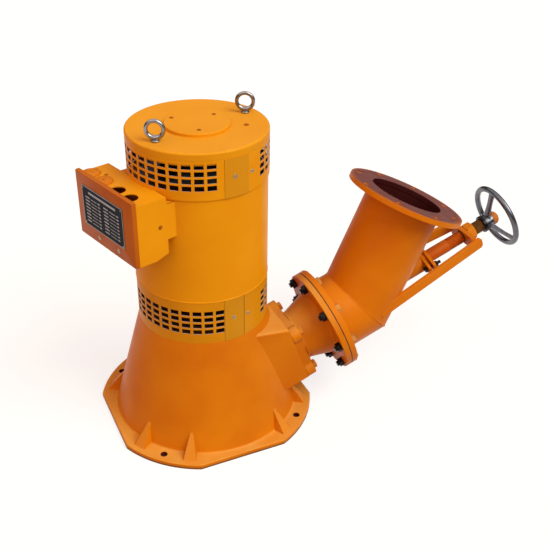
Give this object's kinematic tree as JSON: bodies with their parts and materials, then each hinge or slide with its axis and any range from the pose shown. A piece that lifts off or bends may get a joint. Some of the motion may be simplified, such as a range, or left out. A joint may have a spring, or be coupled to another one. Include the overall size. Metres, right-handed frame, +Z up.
{
  "type": "water turbine generator set",
  "caption": "Inclined-jet water turbine on a cone hood with a vertical generator, elbow inlet and handwheel spear valve.",
  "frame": {"origin": "middle of the base flange's underside, on the generator's vertical axis", "axes": "+Z up along the generator, +X level along the nozzle toward the inlet, +Y to the side away from the nozzle"},
  "size_m": [1.2558, 0.56, 0.9063],
  "materials": {
    "generator_paint": "satin",
    "casting_paint": "satin",
    "pipe_paint": "satin",
    "flange_primer": "matt",
    "chrome": "polished",
    "dark_bolts": "dark",
    "gasket": "matt",
    "plate": "satin",
    "bare_steel": "machined",
    "thread_steel": "greased",
    "core_steel": "matt",
    "copper": "varnished"
  },
  "bodies": {
    "turbine": {"base_casting": "casting_paint", "lower_bracket": "casting_paint", "lower_vent_band": "generator_paint", "stator_frame": "generator_paint", "stator_core": "core_steel", "stator_windings": "copper", "rotor": "core_steel", "shaft": "bare_steel", "cooling_fan": "generator_paint", "upper_vent_band": "generator_paint", "top_cap": "generator_paint", "bearing_cover": "generator_paint", "eyebolt_right": "chrome", "eyebolt_left": "chrome", "terminal_box": "generator_paint", "terminal_cover": "generator_paint", "cable_plugs": "generator_paint", "rating_plate": "plate", "nozzle_body": "casting_paint", "nozzle_tip": "bare_steel", "flange_gasket": "gasket", "flange_bolts": "dark_bolts", "elbow_flange": "pipe_paint", "elbow_pipe": "pipe_paint", "inlet_flange": "flange_primer", "stuffing_box": "pipe_paint", "gland_plate": "pipe_paint", "gland_studs": "dark_bolts", "yoke_arm_near": "pipe_paint", "yoke_arm_far": "pipe_paint", "yoke_bridge": "pipe_paint", "yoke_nut": "pipe_paint", "runner": "bare_steel", "runner_nut": "dark_bolts"},
    "spear": {"spear": "bare_steel"},
    "handwheel": {"spindle": "thread_steel", "wheel_collar": "dark_bolts", "handwheel": "chrome", "wheel_nut": "pipe_paint"}
  },
  "joints": [
    {"name": "spear_travel", "type": "slide", "parent": "turbine", "child": "spear", "axis": [0.9361, 0, 0.3518], "range_m": [-0.0201, 0.0301]},
    {"name": "handwheel_turn", "type": "hinge", "parent": "spear", "child": "handwheel", "pos_m": [0.89862, -0.071, 0.43697], "axis": [0.9361, 0, 0.3518], "range_deg": [-1440, 2160]}
  ],
  "couplings": [
    {"joint": "spear_travel", "follows": "handwheel_turn", "m_per_rad": 0.00079577}
  ]
}
